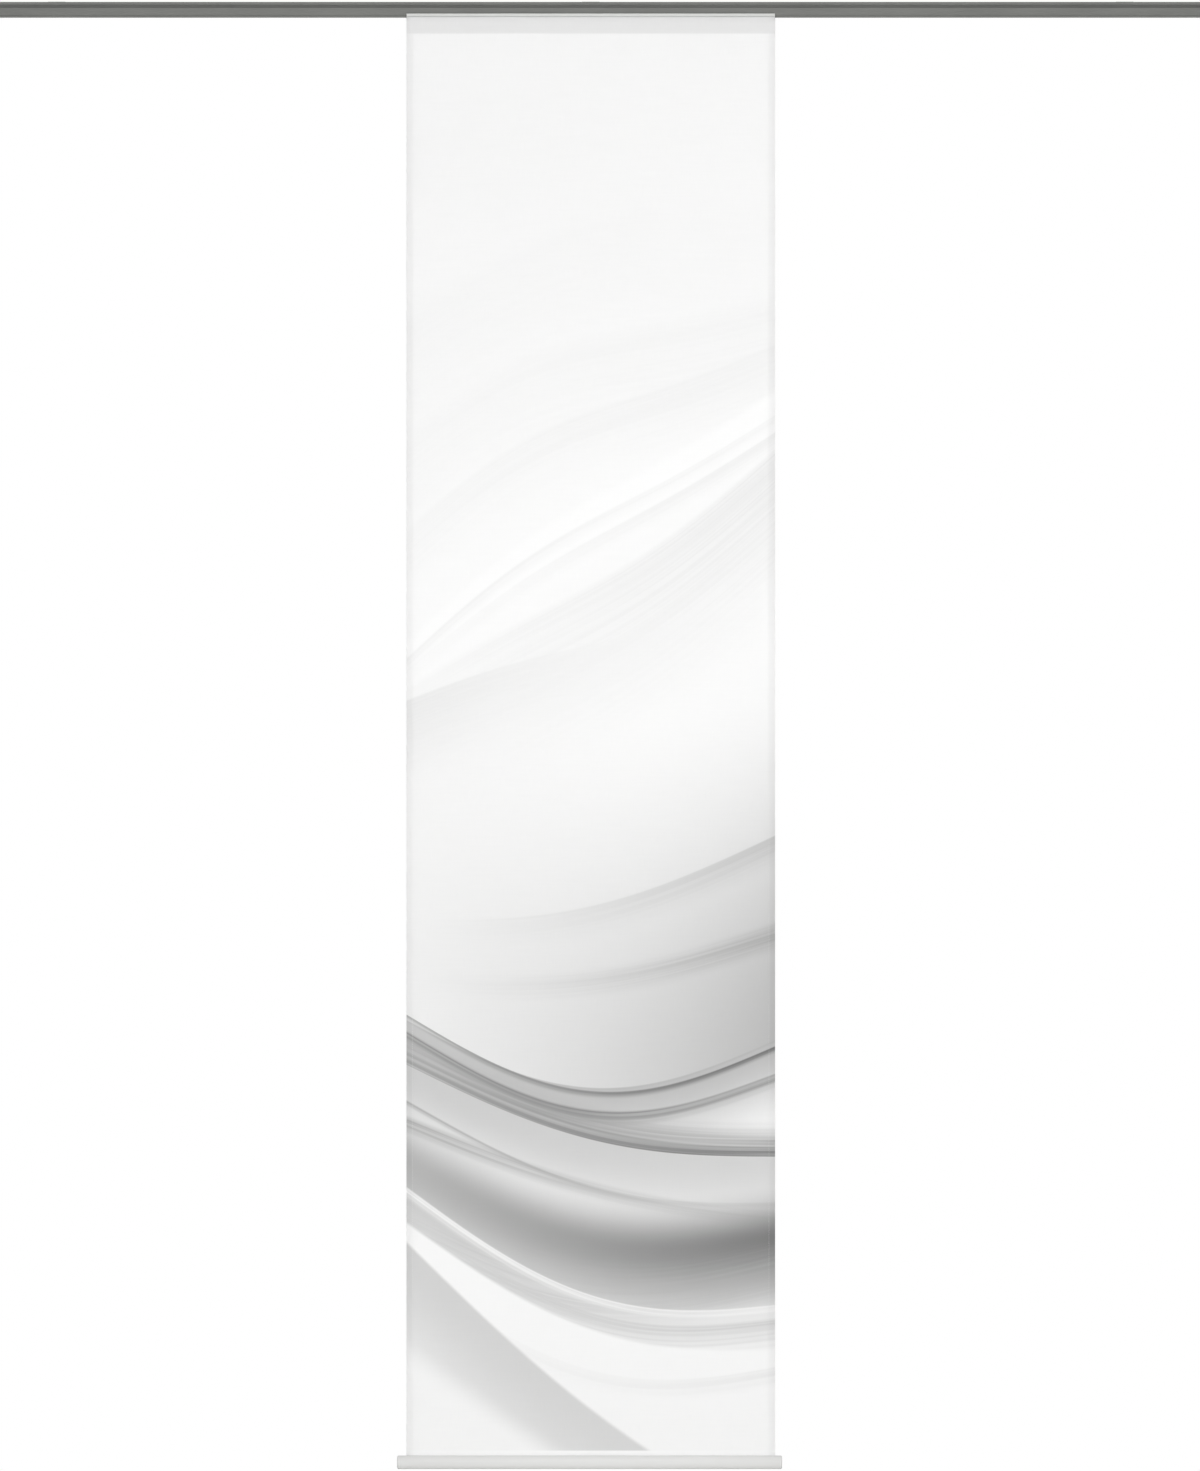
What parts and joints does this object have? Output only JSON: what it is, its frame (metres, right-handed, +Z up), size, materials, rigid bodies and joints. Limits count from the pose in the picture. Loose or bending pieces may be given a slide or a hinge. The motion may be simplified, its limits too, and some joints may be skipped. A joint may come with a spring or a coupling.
{
  "type": "sliding panel curtain",
  "caption": "Flat translucent cloth panel with a weighted bottom bar, hung from a slim carrier that slides in a two-track ceiling rail.",
  "frame": {"origin": "on the ceiling plane, at the middle of the middle ceiling clip's top face, which is the middle of the rail's length and depth", "axes": "+X along the rail to the right, +Y from the room towards the window, so the printed front faces -Y, +Z up"},
  "size_m": [2.0052, 0.0575, 2.3903],
  "materials": {
    "rail_aluminium": "titanium-grey satin anodised",
    "rail_plastic": "fine matt",
    "spring_steel": "plain rolled",
    "zinc_steel": "zinc plated",
    "carrier_plastic": "satin extruded",
    "glider_plastic": "smooth moulded",
    "hook_tape": "woven with stiff hooks",
    "loop_tape": "woven with soft loops",
    "cloth": "fine plain weave, printed in soft greys",
    "bar_plastic": "satin extruded"
  },
  "bodies": {
    "rail": {"rail_profile": "rail_aluminium", "rail_end_cap_left": "rail_plastic", "rail_end_cap_right": "rail_plastic", "ceiling_clip_left": "spring_steel", "ceiling_clip_centre": "spring_steel", "ceiling_clip_right": "spring_steel", "end_stop_left": "rail_plastic", "end_stop_right": "rail_plastic", "stop_screw_left": "zinc_steel", "stop_screw_right": "zinc_steel"},
    "panel": {"carrier_profile": "carrier_plastic", "carrier_cap_left": "carrier_plastic", "carrier_cap_right": "carrier_plastic", "glider_1": "glider_plastic", "glider_2": "glider_plastic", "glider_3": "glider_plastic", "glider_4": "glider_plastic", "hook_tape": "hook_tape", "loop_tape": "loop_tape", "fabric_panel": "cloth", "keder_rod": "glider_plastic", "bottom_bar": "bar_plastic", "weight_strip": "zinc_steel", "bottom_bar_cap_left": "bar_plastic", "bottom_bar_cap_right": "bar_plastic"}
  },
  "joints": [
    {"name": "panel_slide", "type": "slide", "parent": "rail", "child": "panel", "axis": [1, 0, 0], "range_m": [-0.6865, 0.6865]}
  ]
}
